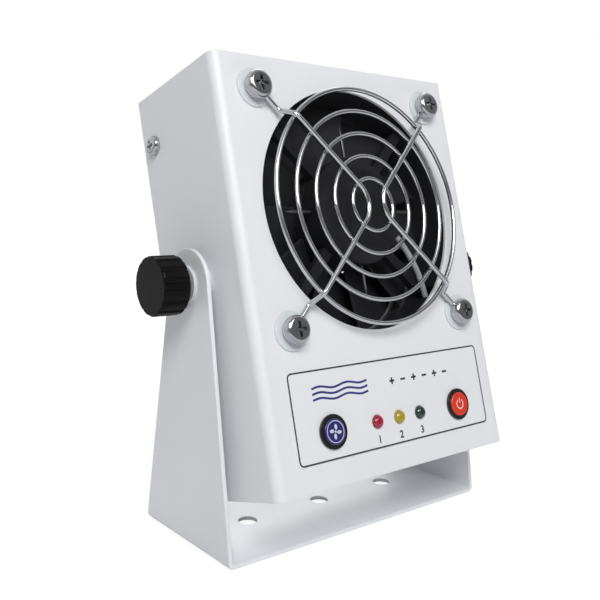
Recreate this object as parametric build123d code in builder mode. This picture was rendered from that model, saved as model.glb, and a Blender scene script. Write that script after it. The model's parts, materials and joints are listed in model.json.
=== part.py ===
from build123d import *
import os
from math import cos, hypot, radians, sin, sqrt, tan

# Benchtop ionizing blower: a sheet-metal housing with a fan, a ring of emitter
# needles, a high-voltage module and a control board, tilting in a U bracket.
#
# World frame: origin at the middle of the bracket's underside, +Z up, the front
# faces -Y and +X is the viewer's right. All sizes are in millimetres.
#
# Housing frame: origin on the tilt axis, x to the viewer's right, y up along the
# housing, z out of the front face.

os.makedirs("parts", exist_ok=True)

# Sheet metal and general fits
housing_sheet = 1.2
bracket_sheet = 1.5
nest_gap = 0.1
slip_gap = 0.05
running_gap = 0.05
thread_gap = 0.05
weld_sink = 0.1

# Fan and its opening
fan_size = 92.0
fan_depth = 25.0
fan_corner_inset = 4.75
fan_rim = 1.75
fan_rise = 20.0

# Housing room around the fan
side_room = 10.3
top_room = 7.0
control_room = 48.0
emitter_depth = 8.0
intake_room = 15.6
front_bend = 3.5
rear_bend = 2.0
flange_depth = 12.0

# Stand
lean = 16.5
swing_room = 11.75
spacer_thickness = 4.0
base_depth = 54.6
base_bend = 2.0
arm_end_radius = 12.1
base_hole_pitch = 35.0
base_hole_radius = 3.5

# Tilt pivots and clamp knobs
stud_radius = 2.5
insert_radius = 4.5
insert_flange_radius = 6.5
insert_length = 5.0
spacer_radius = 7.0
knob_washer_radius = 6.3
knob_washer_thickness = 1.25
knob_neck_radius = 4.0
knob_neck_length = 3.2
knob_radius = 10.0
knob_length = 9.8
knob_edge = 0.8
knob_flutes = 16
flute_radius = 1.1
flute_depth = 0.7
stud_embed = 7.0
stud_tip_gap = 0.5

# Wire guards
guard_rings = 5
guard_inner_radius = 9.6
guard_rim_gap = 1.55
ring_wire_radius = 0.8
spoke_wire_radius = 0.95
ring_height = 5.6
spoke_bend = 9.0
spoke_dip_start = 0.5
spoke_dip_end = 4.5
dip_bend = 2.6
eyelet_radius = 3.6

# Screws and nuts
guard_screw_radius = 2.0
guard_head_radius = 4.9
guard_head_height = 2.6
guard_screw_length = 22.0
rear_screw_length = 9.0
guard_washer_radius = 6.8
guard_washer_thickness = 0.8
nut_radius = 4.0
nut_height = 3.0
cover_screw_radius = 1.75
cover_head_radius = 3.6
cover_head_height = 2.3
cover_screw_length = 6.5
cover_screw_inset = 7.8
cover_screw_drop = 19.0
cover_nut_radius = 3.4
cover_nut_height = 2.5
clearance_hole_gap = 0.2
head_rounding = 0.62
recess_width = 1.1
recess_span = 1.05
recess_depth = 0.6
recess_taper = 12.0

# Fan rotor and motor
hub_radius = 20.0
hub_wall = 1.5
hub_height = 17.0
hub_front_gap = 1.3
blade_count = 11
blade_tip_gap = 1.0
blade_thickness = 1.5
blade_root_chord = 22.0
blade_tip_chord = 37.0
blade_root_pitch = 28.0
blade_tip_pitch = 16.0
magnet_thickness = 2.0
magnet_height = 11.0
magnet_gap = 0.8
shaft_radius = 1.5
bearing_radius = 4.0
bearing_width = 3.0
bearing_tube_wall = 1.5
motor_plate_radius = 19.0
motor_plate = 2.0
strut_width = 5.0
fan_flange = 3.5
stator_height = 8.0
stator_poles = 4
fan_board_thickness = 1.2
fan_board_lift = 0.6
bearing_tube_gap = 0.6
stator_lift = 1.0
stator_neck = 5.0
stator_shoe = 2.2
stator_slot = 3.0

# Emitter
emitter_hub_radius = 20.0
emitter_arm_width = 4.0
emitter_arm_depth = 3.0
emitter_hub_depth = 6.8
needle_count = 4
needle_radius = 0.6
needle_length = 12.0
needle_embed = 3.0
needle_tip = 3.0
needle_lift = 4.0
boss_radius = 2.0
boss_length = 4.0
boss_angle = -25.6
boss_reach = 1.74
boss_heading = (0.6, -0.8)
lead_lift = 4.7
lead_slot_inset = 14.8
lead_slot_width = 6.0
lead_slot_depth = 16.0

# Control panel
panel_shift = 1.0
panel_side_margin = 9.1
panel_height = 30.5
panel_rise = 24.0
panel_film = 0.25
controls_drop = 6.0
button_inset = 15.75
led_pitch = 10.75
led_radius = 2.5
led_flange = 0.45
led_flange_height = 1.0
led_stand_out = 1.6
led_dome = 1.9
led_leg_radius = 0.3
led_leg_pitch = 2.54
switch_bezel_radius = 5.85
switch_bezel_height = 0.8
switch_body_radius = 5.2
switch_wall = 0.75
cap_floor_gap = 0.5
switch_pin_length = 1.0
switch_pin_radius = 0.4
switch_nut_radius = 7.0
switch_nut_height = 2.0
cap_stand_out = 0.7
cap_length = 6.0
button_travel = 1.5

# Control board
board_stand_off = 8.0
board_thickness = 1.6
board_side_gap = 6.8
board_head_room = 9.8
board_floor_gap = 3.0
board_hole_inset = 3.0
standoff_radius = 2.6
board_screw_radius = 1.5
board_head_radius = 2.7
board_head_height = 1.8
board_screw_length = 6.0
capacitor_radius = 3.2
capacitor_height = 9.0
header_width = 8.0
header_thickness = 5.0
header_height = 7.0
fan_header_place = (-15.0, 9.8)
power_header_place = (-33.0, 2.8)
module_header_drop = 5.2
module_header_gap = 9.0
capacitor_places = (15.0, 24.0)
capacitor_rise = 8.0

# High-voltage module
module_width = 46.0
module_head_room = 12.3
module_depth = 21.0
module_side_gap = 6.8
module_floor_gap = 1.5
module_screw_inset = 9.0
gland_radius = 3.0
gland_height = 2.0
gland_from_rear = 12.3

# Power inlet
jack_side_gap = 15.8
jack_rise = 14.0
jack_thread_radius = 4.0
jack_flange_radius = 5.5
jack_flange_height = 2.0
jack_length = 14.0
jack_bore_radius = 2.75
jack_bore_depth = 9.0
jack_pin_radius = 1.0
jack_nut_radius = 6.0
jack_nut_height = 2.0

# Internal leads
lead_radius = 1.0
hv_lead_radius = 1.1
module_lead_radius = 0.8
lead_stub = 7.0
lead_bend = 9.0
lead_sag = 1.0
lead_turn_drop = 5.0
lead_slot_end = 4.0
lead_bow = ((0.38, 0.18), (0.74, 0.42), (0.91, 0.69), (1.0, 1.0))
fan_lead_shift = 8.0

# Sizes that follow from the driving dimensions
fan_half = fan_size / 2
opening_radius = fan_half - fan_rim
screw_pitch = fan_size - 2 * fan_corner_inset
housing_width = fan_size + 2 * side_room
side_face = housing_width / 2
housing_top = fan_rise + fan_half + top_room
housing_bottom = fan_rise - fan_half - control_room
housing_depth = 2 * housing_sheet + emitter_depth + fan_depth + intake_room
front_face = housing_depth / 2
rear_face = -housing_depth / 2
front_inside = front_face - housing_sheet
rear_inside = rear_face + housing_sheet
side_inside = side_face - housing_sheet
emitter_back = front_inside - emitter_depth
fan_back = emitter_back - fan_depth
pivot_height = bracket_sheet + swing_room + hypot(housing_bottom, front_face)
arm_inside = side_face + spacer_thickness + slip_gap
arm_outside = arm_inside + bracket_sheet
washer_outside = arm_outside + knob_washer_thickness
knob_inside = washer_outside + slip_gap
grip_inside = knob_inside + knob_neck_length
flange_outside = side_inside - nest_gap
flange_inside = flange_outside - housing_sheet
cover_screw_heights = (housing_top - cover_screw_drop, housing_bottom + cover_screw_drop)
cover_screw_depth = rear_face + cover_screw_inset
spoke_height = ring_height + ring_wire_radius + spoke_wire_radius - weld_sink
eyelet_height = guard_washer_thickness + spoke_wire_radius
panel_middle = housing_bottom + panel_rise
panel_width = housing_width - 2 * panel_side_margin
panel_face = front_face + panel_film
controls_height = panel_middle - controls_drop
led_places = [panel_shift - led_pitch, panel_shift, panel_shift + led_pitch]
button_spread = panel_width / 2 - button_inset
button_places = [panel_shift - button_spread, panel_shift + button_spread]
board_face = front_inside - board_stand_off
board_back = board_face - board_thickness
board_width = 2 * (flange_inside - board_side_gap - panel_shift)
board_height = control_room - housing_sheet - board_floor_gap - board_head_room
board_middle = housing_bottom + housing_sheet + board_floor_gap + board_height / 2
board_hole_pitch_x = board_width - 2 * board_hole_inset
board_hole_pitch_y = board_height - 2 * board_hole_inset
header_end = board_back - header_height
module_right = flange_inside - module_side_gap
module_left = module_right - module_width
module_bottom = housing_bottom + housing_sheet + module_floor_gap
module_height = control_room - housing_sheet - module_floor_gap - module_head_room
module_top = module_bottom + module_height
module_front = rear_inside + module_depth
fan_header = (panel_shift + fan_header_place[0], board_middle + fan_header_place[1])
power_header = (panel_shift + power_header_place[0], board_middle + power_header_place[1])
module_header = (module_left - module_header_gap, board_middle - module_header_drop)
jack_from_centre = flange_inside - jack_side_gap
jack_height = housing_bottom + jack_rise
jack_end = rear_face + jack_length
module_screw_places = [
    (module_left + module_screw_inset, (module_bottom + module_top) / 2),
    (module_right - module_screw_inset, (module_bottom + module_top) / 2),
]
needle_plane = emitter_back + needle_lift
lead_plane = emitter_back + lead_lift
lead_slot_x = fan_half - lead_slot_inset
lead_turn_height = fan_rise - fan_half - lead_turn_drop
gland_plane = rear_inside + gland_from_rear
hub_front = emitter_back - hub_front_gap
magnet_inner_radius = hub_radius - hub_wall - magnet_thickness
stator_radius = magnet_inner_radius - magnet_gap
bearing_tube_radius = bearing_radius + bearing_tube_wall
motor_plate_front = fan_back + motor_plate
bearing_tube_top = hub_front - hub_wall - bearing_tube_gap
stator_base = motor_plate_front + fan_board_lift + fan_board_thickness + stator_lift

# Planes

HOUSING = Plane(
    origin=(0, 0, pivot_height),
    x_dir=(1, 0, 0),
    z_dir=(0, -cos(radians(lean)), sin(radians(lean))),
)


def facing_front(x: float, y: float, z: float) -> Plane:
    """Plane at a housing point: x to the viewer's right, y up, normal out of the front."""
    return Plane(HOUSING.from_local_coords((x, y, z)), x_dir=HOUSING.x_dir, z_dir=HOUSING.z_dir)


def facing_rear(x: float, y: float, z: float) -> Plane:
    """Plane at a housing point: x to the viewer's left, y up, normal out of the rear."""
    return Plane(HOUSING.from_local_coords((x, y, z)), x_dir=-HOUSING.x_dir, z_dir=-HOUSING.z_dir)


def facing_up(x: float, y: float, z: float) -> Plane:
    """Plane at a housing point: x to the viewer's right, y into the housing, normal up it."""
    return Plane(HOUSING.from_local_coords((x, y, z)), x_dir=HOUSING.x_dir, z_dir=HOUSING.y_dir)


def facing_side(side: int, x: float, y: float, z: float) -> Plane:
    """Plane at a housing point on one side (-1 left, 1 right), normal out of that side."""
    point = HOUSING.from_local_coords((side * x, y, z))
    return Plane(point, x_dir=HOUSING.z_dir * -side, z_dir=(side, 0, 0))


FAN_AXIS_FRONT = facing_front(0, fan_rise, front_face)
FAN_AXIS_REAR = facing_rear(0, fan_rise, rear_face)


# Repeated pieces


def save(piece: BuildPart, name: str) -> None:
    """Label a finished piece and write it to its own file."""
    piece.part.label = name
    export_step(piece.part, f"parts/{name}.step")


def corners(pitch_x: float, pitch_y: float) -> GridLocations:
    """The four corner places of a rectangle of holes."""
    return GridLocations(pitch_x, pitch_y, 2, 2)


def pan_screw(head_radius: float, head_height: float, shank_radius: float, length: float) -> Part:
    """Pan head screw with a cross recess, seated on its plane, the shank going down."""
    with BuildPart() as screw:
        with BuildSketch(Plane.XY):
            Circle(head_radius)
        extrude(amount=head_height)
        fillet(screw.faces().sort_by(Axis.Z)[-1].edges(), head_height * head_rounding)
        with BuildSketch(Plane.XY):
            Circle(shank_radius)
        extrude(amount=-length)
        with BuildSketch(Plane.XY.offset(head_height)):
            Rectangle(head_radius * recess_span, recess_width)
            Rectangle(recess_width, head_radius * recess_span)
        extrude(amount=-head_height * recess_depth, taper=recess_taper, mode=Mode.SUBTRACT)
    return screw.part


def washer(outer_radius: float, inner_radius: float, thickness: float) -> Part:
    """Flat ring standing on its plane."""
    with BuildPart() as ring:
        with BuildSketch(Plane.XY):
            Circle(outer_radius)
            Circle(inner_radius, mode=Mode.SUBTRACT)
        extrude(amount=thickness)
    return ring.part


def hex_nut(outer_radius: float, bore_radius: float, height: float) -> Part:
    """Six-sided nut standing on its plane."""
    with BuildPart() as nut:
        with BuildSketch(Plane.XY):
            RegularPolygon(outer_radius, 6)
            Circle(bore_radius, mode=Mode.SUBTRACT)
        extrude(amount=height)
    return nut.part


def wire_guard(face: Plane) -> BuildPart:
    """Welded finger guard: rings, two bent spoke wires and an eyelet round each screw."""
    outer_ring = opening_radius - guard_rim_gap
    ring_step = (outer_ring - guard_inner_radius) / (guard_rings - 1)
    corner = screw_pitch / 2
    reach = corner * sqrt(2)
    low_end = (reach - eyelet_radius) / sqrt(2)
    dip_foot = (outer_ring + spoke_dip_end) / sqrt(2)
    dip_top = (outer_ring + spoke_dip_start) / sqrt(2)
    with BuildPart(face) as guard:
        for number in range(guard_rings):
            with Locations((0, 0, ring_height)):
                Torus(guard_inner_radius + ring_step * number, ring_wire_radius)
        for side in (-1, 1):
            with BuildLine(face) as spoke:
                FilletPolyline(
                    (side * low_end, low_end, eyelet_height),
                    (side * dip_foot, dip_foot, eyelet_height),
                    (side * dip_top, dip_top, spoke_height),
                    (0, 0, spoke_height),
                    (side * dip_top, -dip_top, spoke_height),
                    (side * dip_foot, -dip_foot, eyelet_height),
                    (side * low_end, -low_end, eyelet_height),
                    radius=(dip_bend, dip_bend, spoke_bend, dip_bend, dip_bend),
                )
            with BuildSketch(Plane(origin=spoke.line @ 0, z_dir=spoke.line % 0)):
                Circle(spoke_wire_radius)
            sweep(path=spoke.line)
        with Locations((0, 0, eyelet_height)):
            with corners(screw_pitch, screw_pitch):
                Torus(eyelet_radius, spoke_wire_radius)
    return guard


def needle() -> Part:
    """Pointed pin standing on its plane, sunk into its seat by its embedded length."""
    with BuildPart() as pin:
        with BuildSketch(Plane.XZ):
            with BuildLine():
                Polyline(
                    (0, -needle_embed),
                    (needle_radius, -needle_embed),
                    (needle_radius, needle_length - needle_tip),
                    (0, needle_length),
                    close=True,
                )
            make_face()
        revolve(axis=Axis.Z)
    return pin.part


def bend_radii(points: list) -> list:
    """The largest tangent arc at each inner corner of a lead's route."""
    radii = []
    for before, here, after in zip(points, points[1:], points[2:]):
        arriving = Vector(*here) - Vector(*before)
        leaving = Vector(*after) - Vector(*here)
        half_turn = radians(arriving.get_angle(leaving)) / 2
        radii.append(0.45 * min(arriving.length, leaving.length) / tan(half_turn))
    return radii


def lead(points: list, radius: float) -> BuildPart:
    """Insulated lead through housing points: straight runs joined by tangent arcs."""
    with BuildPart() as tube:
        with BuildLine(HOUSING) as route:
            FilletPolyline(*points, radius=bend_radii(points))
        with BuildSketch(Plane(origin=route.line @ 0, z_dir=route.line % 0)):
            Circle(radius)
        sweep(path=route.line)
    return tube


# Stand

with BuildPart() as bracket:
    with BuildSketch(Plane.XZ):
        with Locations((0, pivot_height)):
            Rectangle(2 * arm_outside, 2 * pivot_height)
        with Locations((0, pivot_height + bracket_sheet)):
            Rectangle(2 * arm_inside, 2 * pivot_height, mode=Mode.SUBTRACT)
    extrude(amount=base_depth / 2, both=True)
    long_edges = bracket.edges().filter_by(Axis.Y)
    fillet(long_edges.group_by(Axis.Z)[1], base_bend - bracket_sheet)
    long_edges = bracket.edges().filter_by(Axis.Y)
    fillet(long_edges.group_by(Axis.Z)[0], base_bend)
    with BuildSketch(Plane.YZ.offset(-2 * arm_outside)):
        with Locations((0, pivot_height)):
            Circle(arm_end_radius)
        with Locations((0, base_bend / 2)):
            Rectangle(base_depth, base_bend)
        make_hull()
    extrude(amount=4 * arm_outside, mode=Mode.INTERSECT)
    with BuildSketch(Plane.YZ.offset(-2 * arm_outside)):
        with Locations((0, pivot_height)):
            Circle(stud_radius + running_gap)
    extrude(amount=4 * arm_outside, mode=Mode.SUBTRACT)
    with BuildSketch(Plane.XY):
        with GridLocations(base_hole_pitch, 1, 3, 1):
            Circle(base_hole_radius)
    extrude(amount=bracket_sheet, mode=Mode.SUBTRACT)
save(bracket, "bracket")

for side, side_name in ((-1, "left"), (1, "right")):
    with BuildPart(facing_side(side, arm_outside, 0, 0)) as knob_washer:
        add(washer(knob_washer_radius, stud_radius + running_gap, knob_washer_thickness))
    save(knob_washer, f"knob_washer_{side_name}")

# Housing shells

with BuildPart(HOUSING) as front_shell:
    with BuildSketch(facing_up(0, housing_bottom, 0)):
        Rectangle(housing_width, housing_depth)
        with Locations((0, housing_sheet)):
            Rectangle(2 * side_inside, housing_depth, mode=Mode.SUBTRACT)
    extrude(amount=housing_top - housing_bottom)
    front_to_back = Axis((0, 0, 0), -HOUSING.z_dir)
    upright_edges = front_shell.edges().filter_by(Axis((0, 0, 0), HOUSING.y_dir))
    fillet(upright_edges.group_by(front_to_back)[1], front_bend - housing_sheet)
    upright_edges = front_shell.edges().filter_by(Axis((0, 0, 0), HOUSING.y_dir))
    fillet(upright_edges.group_by(front_to_back)[0], front_bend)
    with BuildSketch(FAN_AXIS_FRONT):
        Circle(opening_radius)
        with corners(screw_pitch, screw_pitch):
            Circle(guard_screw_radius + clearance_hole_gap)
    extrude(amount=-2 * housing_sheet, mode=Mode.SUBTRACT)
    with BuildSketch(facing_front(0, controls_height, front_face)):
        with Locations(*[(x, 0) for x in led_places]):
            Circle(led_radius + slip_gap)
        with Locations(*[(x, 0) for x in button_places]):
            Circle(switch_body_radius + slip_gap)
    extrude(amount=-2 * housing_sheet, mode=Mode.SUBTRACT)
    with BuildSketch(facing_side(1, 0, 0, 0)):
        Circle(insert_radius + slip_gap)
        with Locations(*[(-cover_screw_depth, y) for y in cover_screw_heights]):
            Circle(cover_screw_radius + clearance_hole_gap)
    extrude(amount=housing_width, both=True, mode=Mode.SUBTRACT)
save(front_shell, "front_shell")

with BuildPart(HOUSING) as rear_shell:
    shell_depth = front_inside - nest_gap - rear_face
    with BuildSketch(facing_front(0, 0, rear_face)):
        with Locations((0, (housing_top + housing_bottom) / 2)):
            Rectangle(2 * flange_outside, housing_top - housing_bottom)
    extrude(amount=shell_depth)
    toward_front = Axis((0, 0, 0), HOUSING.z_dir)
    fillet(rear_shell.edges().group_by(toward_front)[0], rear_bend)
    upright_edges = rear_shell.edges().filter_by(Axis((0, 0, 0), HOUSING.y_dir))
    fillet(upright_edges.group_by(toward_front)[-1], front_bend - housing_sheet)
    with BuildSketch(facing_front(0, 0, rear_inside)):
        with Locations((0, (housing_top + housing_bottom) / 2)):
            Rectangle(2 * flange_inside, housing_top - housing_bottom - 2 * housing_sheet)
    extrude(amount=shell_depth, mode=Mode.SUBTRACT)
    with BuildSketch(facing_front(0, 0, rear_face + flange_depth)):
        with Locations((0, (housing_top + housing_bottom) / 2)):
            Rectangle(housing_width, housing_top - housing_bottom - 2 * housing_sheet)
    extrude(amount=shell_depth, mode=Mode.SUBTRACT)
    with BuildSketch(FAN_AXIS_REAR):
        Circle(opening_radius)
        with corners(screw_pitch, screw_pitch):
            Circle(guard_screw_radius + clearance_hole_gap)
    extrude(amount=-2 * housing_sheet, mode=Mode.SUBTRACT)
    with BuildSketch(facing_rear(0, 0, rear_face)):
        with Locations((jack_from_centre, jack_height)):
            Circle(jack_thread_radius + slip_gap)
        with Locations(*[(-x, y) for x, y in module_screw_places]):
            Circle(cover_screw_radius + clearance_hole_gap)
    extrude(amount=-2 * housing_sheet, mode=Mode.SUBTRACT)
    with BuildSketch(facing_side(1, 0, 0, 0)):
        with Locations(*[(-cover_screw_depth, y) for y in cover_screw_heights]):
            Circle(cover_screw_radius + clearance_hole_gap)
    extrude(amount=housing_width, both=True, mode=Mode.SUBTRACT)
save(rear_shell, "rear_shell")

# Screws that close the housing, two on each side

with BuildPart() as cover_screws:
    for side in (-1, 1):
        for height in cover_screw_heights:
            with Locations(facing_side(side, side_face, height, cover_screw_depth)):
                add(
                    pan_screw(
                        cover_head_radius, cover_head_height, cover_screw_radius, cover_screw_length
                    )
                )
save(cover_screws, "cover_screws")

with BuildPart() as cover_nuts:
    for side in (-1, 1):
        for height in cover_screw_heights:
            with Locations(facing_side(-side, -flange_inside, height, cover_screw_depth)):
                add(hex_nut(cover_nut_radius, cover_screw_radius + thread_gap, cover_nut_height))
save(cover_nuts, "cover_nuts")

# Tilt pivots: a threaded insert in each side wall, a spacer and a clamp knob

for side, side_name in ((-1, "left"), (1, "right")):
    with BuildPart(facing_side(side, side_face, 0, 0)) as pivot_insert:
        with BuildSketch(facing_side(side, side_inside, 0, 0)):
            Circle(insert_flange_radius)
        extrude(amount=-housing_sheet)
        with BuildSketch(facing_side(side, side_face, 0, 0)):
            Circle(insert_radius)
        extrude(amount=-insert_length - housing_sheet)
        with BuildSketch(facing_side(side, side_face, 0, 0)):
            Circle(stud_radius + running_gap)
        extrude(amount=-2 * insert_length, mode=Mode.SUBTRACT)
    save(pivot_insert, f"pivot_insert_{side_name}")

    with BuildPart(facing_side(side, side_face, 0, 0)) as spacer_washer:
        add(washer(spacer_radius, stud_radius + running_gap, spacer_thickness))
    save(spacer_washer, f"spacer_washer_{side_name}")

    with BuildPart() as knob_grip:
        with BuildSketch(facing_side(side, knob_inside, 0, 0)):
            Circle(knob_neck_radius)
        extrude(amount=knob_neck_length)
        with BuildSketch(facing_side(side, grip_inside, 0, 0)):
            Circle(knob_radius)
        extrude(amount=knob_length)
        rims = knob_grip.edges().filter_by(GeomType.CIRCLE).filter_by(
            lambda edge: abs(edge.radius - knob_radius) < 0.01
        )
        fillet(rims, knob_edge)
        with BuildSketch(facing_side(side, grip_inside, 0, 0)):
            with PolarLocations(knob_radius + flute_radius - flute_depth, knob_flutes):
                Circle(flute_radius)
        extrude(amount=knob_length, mode=Mode.SUBTRACT)
        with BuildSketch(facing_side(side, knob_inside, 0, 0)):
            Circle(stud_radius)
        extrude(amount=stud_embed, mode=Mode.SUBTRACT)
    save(knob_grip, f"knob_{side_name}_grip")

    with BuildPart() as knob_stud:
        with BuildSketch(facing_side(side, knob_inside + stud_embed, 0, 0)):
            Circle(stud_radius)
        extrude(amount=-(knob_inside + stud_embed - side_inside + insert_length - stud_tip_gap))
    save(knob_stud, f"knob_{side_name}_stud")

# Wire guards over the outlet and the intake

front_guard = wire_guard(FAN_AXIS_FRONT)
save(front_guard, "front_guard")

rear_guard = wire_guard(FAN_AXIS_REAR)
save(rear_guard, "rear_guard")

guard_head_seat = guard_washer_thickness + 2 * spoke_wire_radius
for face, face_name, length in (
    (FAN_AXIS_FRONT, "front", guard_screw_length),
    (FAN_AXIS_REAR, "rear", rear_screw_length),
):
    with BuildPart(face) as guard_screws:
        with Locations((0, 0, guard_head_seat)):
            with corners(screw_pitch, screw_pitch):
                add(pan_screw(guard_head_radius, guard_head_height, guard_screw_radius, length))
    save(guard_screws, f"{face_name}_guard_screws")

    with BuildPart(face) as guard_washers:
        with corners(screw_pitch, screw_pitch):
            add(
                washer(
                    guard_washer_radius,
                    guard_screw_radius + clearance_hole_gap,
                    guard_washer_thickness,
                )
            )
    save(guard_washers, f"{face_name}_guard_washers")

with BuildPart(facing_front(0, fan_rise, rear_inside)) as rear_guard_nuts:
    with corners(screw_pitch, screw_pitch):
        add(hex_nut(nut_radius, guard_screw_radius + thread_gap, nut_height))
save(rear_guard_nuts, "rear_guard_nuts")

# Emitter: a moulded ring and hub that hold the needles in the air stream

hub_centre = Vector(0, fan_rise, 0)
boss_direction = Vector(cos(radians(boss_angle)), sin(radians(boss_angle)), 0)
boss_end = hub_centre + boss_direction * (emitter_hub_radius + boss_reach) + Vector(0, 0, lead_plane)
needle_seats = []
for number in range(needle_count):
    angle = radians(360 / needle_count * number)
    outward = Vector(cos(angle), sin(angle), 0)
    seat = hub_centre + outward * emitter_hub_radius + Vector(0, 0, needle_plane)
    heading = HOUSING.x_dir * outward.X + HOUSING.y_dir * outward.Y
    needle_seats.append(Plane(HOUSING.from_local_coords(seat), z_dir=heading))

with BuildPart() as emitter_frame:
    with BuildSketch(facing_front(0, fan_rise, emitter_back)):
        Rectangle(fan_size, fan_size)
        Circle(opening_radius, mode=Mode.SUBTRACT)
        with corners(screw_pitch, screw_pitch):
            Circle(guard_screw_radius + clearance_hole_gap, mode=Mode.SUBTRACT)
        with Locations((lead_slot_x, -fan_half + lead_slot_depth / 2)):
            Rectangle(lead_slot_width, lead_slot_depth, mode=Mode.SUBTRACT)
    extrude(amount=emitter_depth)
    with BuildSketch(facing_front(0, fan_rise, emitter_back)):
        Circle(emitter_hub_radius)
    extrude(amount=emitter_hub_depth)
    with BuildSketch(facing_front(0, fan_rise, emitter_back)):
        Rectangle(2 * opening_radius + fan_rim, emitter_arm_width, rotation=45)
        Rectangle(2 * opening_radius + fan_rim, emitter_arm_width, rotation=135)
    extrude(amount=emitter_arm_depth)
    boss_normal = HOUSING.x_dir * boss_heading[0] + HOUSING.y_dir * boss_heading[1]
    with BuildSketch(Plane(HOUSING.from_local_coords(boss_end), z_dir=boss_normal)):
        Circle(boss_radius)
    extrude(amount=-boss_length)
    with BuildSketch(*needle_seats):
        Circle(needle_radius)
    extrude(amount=-needle_embed, mode=Mode.SUBTRACT)
save(emitter_frame, "emitter_frame")

with BuildPart() as emitter_needles:
    with Locations(*needle_seats):
        add(needle())
save(emitter_needles, "emitter_needles")

# Fan: frame, motor and rotor

with BuildPart() as fan_frame:
    with BuildSketch(facing_front(0, fan_rise, fan_back)):
        Circle(fan_half)
        Rectangle(fan_size, fan_size, mode=Mode.INTERSECT)
        Circle(opening_radius, mode=Mode.SUBTRACT)
    extrude(amount=fan_depth)
    for plate_back in (fan_back, emitter_back - fan_flange):
        with BuildSketch(facing_front(0, fan_rise, plate_back)):
            Rectangle(fan_size, fan_size)
            Circle(opening_radius, mode=Mode.SUBTRACT)
        extrude(amount=fan_flange)
    with BuildSketch(facing_front(0, fan_rise, fan_back)):
        Circle(motor_plate_radius)
        Rectangle(2 * opening_radius + fan_rim, strut_width)
        Rectangle(strut_width, 2 * opening_radius + fan_rim)
    extrude(amount=motor_plate)
    with BuildSketch(facing_front(0, fan_rise, fan_back)):
        Circle(bearing_tube_radius)
    extrude(amount=bearing_tube_top - fan_back)
    with BuildSketch(facing_front(0, fan_rise, motor_plate_front)):
        Circle(bearing_radius)
    extrude(amount=fan_depth, mode=Mode.SUBTRACT)
    with BuildSketch(facing_front(0, fan_rise, fan_back)):
        with corners(screw_pitch, screw_pitch):
            Circle(guard_screw_radius + thread_gap)
    extrude(amount=fan_depth, mode=Mode.SUBTRACT)
save(fan_frame, "fan_frame")

bearing_seats = (motor_plate_front, bearing_tube_top - bearing_width)
with BuildPart() as fan_bearings:
    with Locations(*[facing_front(0, fan_rise, z) for z in bearing_seats]):
        add(washer(bearing_radius, shaft_radius + running_gap, bearing_width))
save(fan_bearings, "fan_bearings")

with BuildPart() as fan_circuit_board:
    with BuildSketch(facing_front(0, fan_rise, motor_plate_front + fan_board_lift)):
        Circle(stator_radius)
        Circle(bearing_tube_radius, mode=Mode.SUBTRACT)
    extrude(amount=fan_board_thickness)
    with BuildSketch(facing_front(0, fan_rise, motor_plate_front)):
        with PolarLocations(stator_radius - 2 * fan_board_lift, stator_poles):
            Circle(fan_board_lift)
    extrude(amount=fan_board_lift)
save(fan_circuit_board, "fan_circuit_board")

with BuildPart() as fan_stator:
    with BuildSketch(facing_front(0, fan_rise, stator_base)):
        Circle(stator_radius)
        Circle(stator_radius - stator_shoe, mode=Mode.SUBTRACT)
        with PolarLocations(stator_radius, stator_poles, start_angle=180 / stator_poles):
            Rectangle(4 * stator_shoe, stator_slot, mode=Mode.SUBTRACT)
        with PolarLocations((stator_radius + bearing_tube_radius - stator_shoe) / 2, stator_poles):
            Rectangle(stator_radius - bearing_tube_radius, stator_neck)
        Circle(bearing_tube_radius + stator_shoe)
        Circle(bearing_tube_radius, mode=Mode.SUBTRACT)
    extrude(amount=stator_height)
save(fan_stator, "fan_stator")

with BuildPart() as fan_impeller:
    blade_middle = hub_front - hub_height / 2
    with BuildSketch(facing_front(0, fan_rise, hub_front)):
        Circle(hub_radius)
    extrude(amount=-hub_height)
    for number in range(blade_count):
        angle = radians(360 / blade_count * number)
        outward = Vector(cos(angle), sin(angle), 0)
        seat = hub_centre + outward * (hub_radius - hub_wall) + Vector(0, 0, blade_middle)
        root = Plane(
            HOUSING.from_local_coords(seat),
            x_dir=HOUSING.z_dir,
            z_dir=HOUSING.x_dir * outward.X + HOUSING.y_dir * outward.Y,
        )
        with BuildSketch(root):
            SlotOverall(blade_root_chord, blade_thickness, rotation=90 - blade_root_pitch)
        with BuildSketch(root.offset(fan_half - hub_radius)):
            SlotOverall(blade_tip_chord, blade_thickness, rotation=90 - blade_tip_pitch)
        loft()
    with BuildSketch(facing_front(0, fan_rise, hub_front)):
        Circle(opening_radius - blade_tip_gap)
    extrude(amount=-hub_height, mode=Mode.INTERSECT)
    with BuildSketch(facing_front(0, fan_rise, hub_front - hub_wall)):
        Circle(hub_radius - hub_wall)
    extrude(amount=-hub_height, mode=Mode.SUBTRACT)
    with BuildSketch(facing_front(0, fan_rise, hub_front - hub_wall)):
        Circle(shaft_radius)
    extrude(amount=hub_wall / 2, mode=Mode.SUBTRACT)
save(fan_impeller, "fan_impeller")

with BuildPart() as fan_magnet:
    with BuildSketch(facing_front(0, fan_rise, hub_front - hub_wall)):
        Circle(hub_radius - hub_wall)
        Circle(magnet_inner_radius, mode=Mode.SUBTRACT)
    extrude(amount=-magnet_height)
save(fan_magnet, "fan_magnet")

with BuildPart() as fan_shaft:
    with BuildSketch(facing_front(0, fan_rise, hub_front - hub_wall / 2)):
        Circle(shaft_radius)
    extrude(amount=-(hub_front - hub_wall / 2 - motor_plate_front - slip_gap))
save(fan_shaft, "fan_shaft")

# Control panel: printed film, lamps and push buttons

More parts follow.
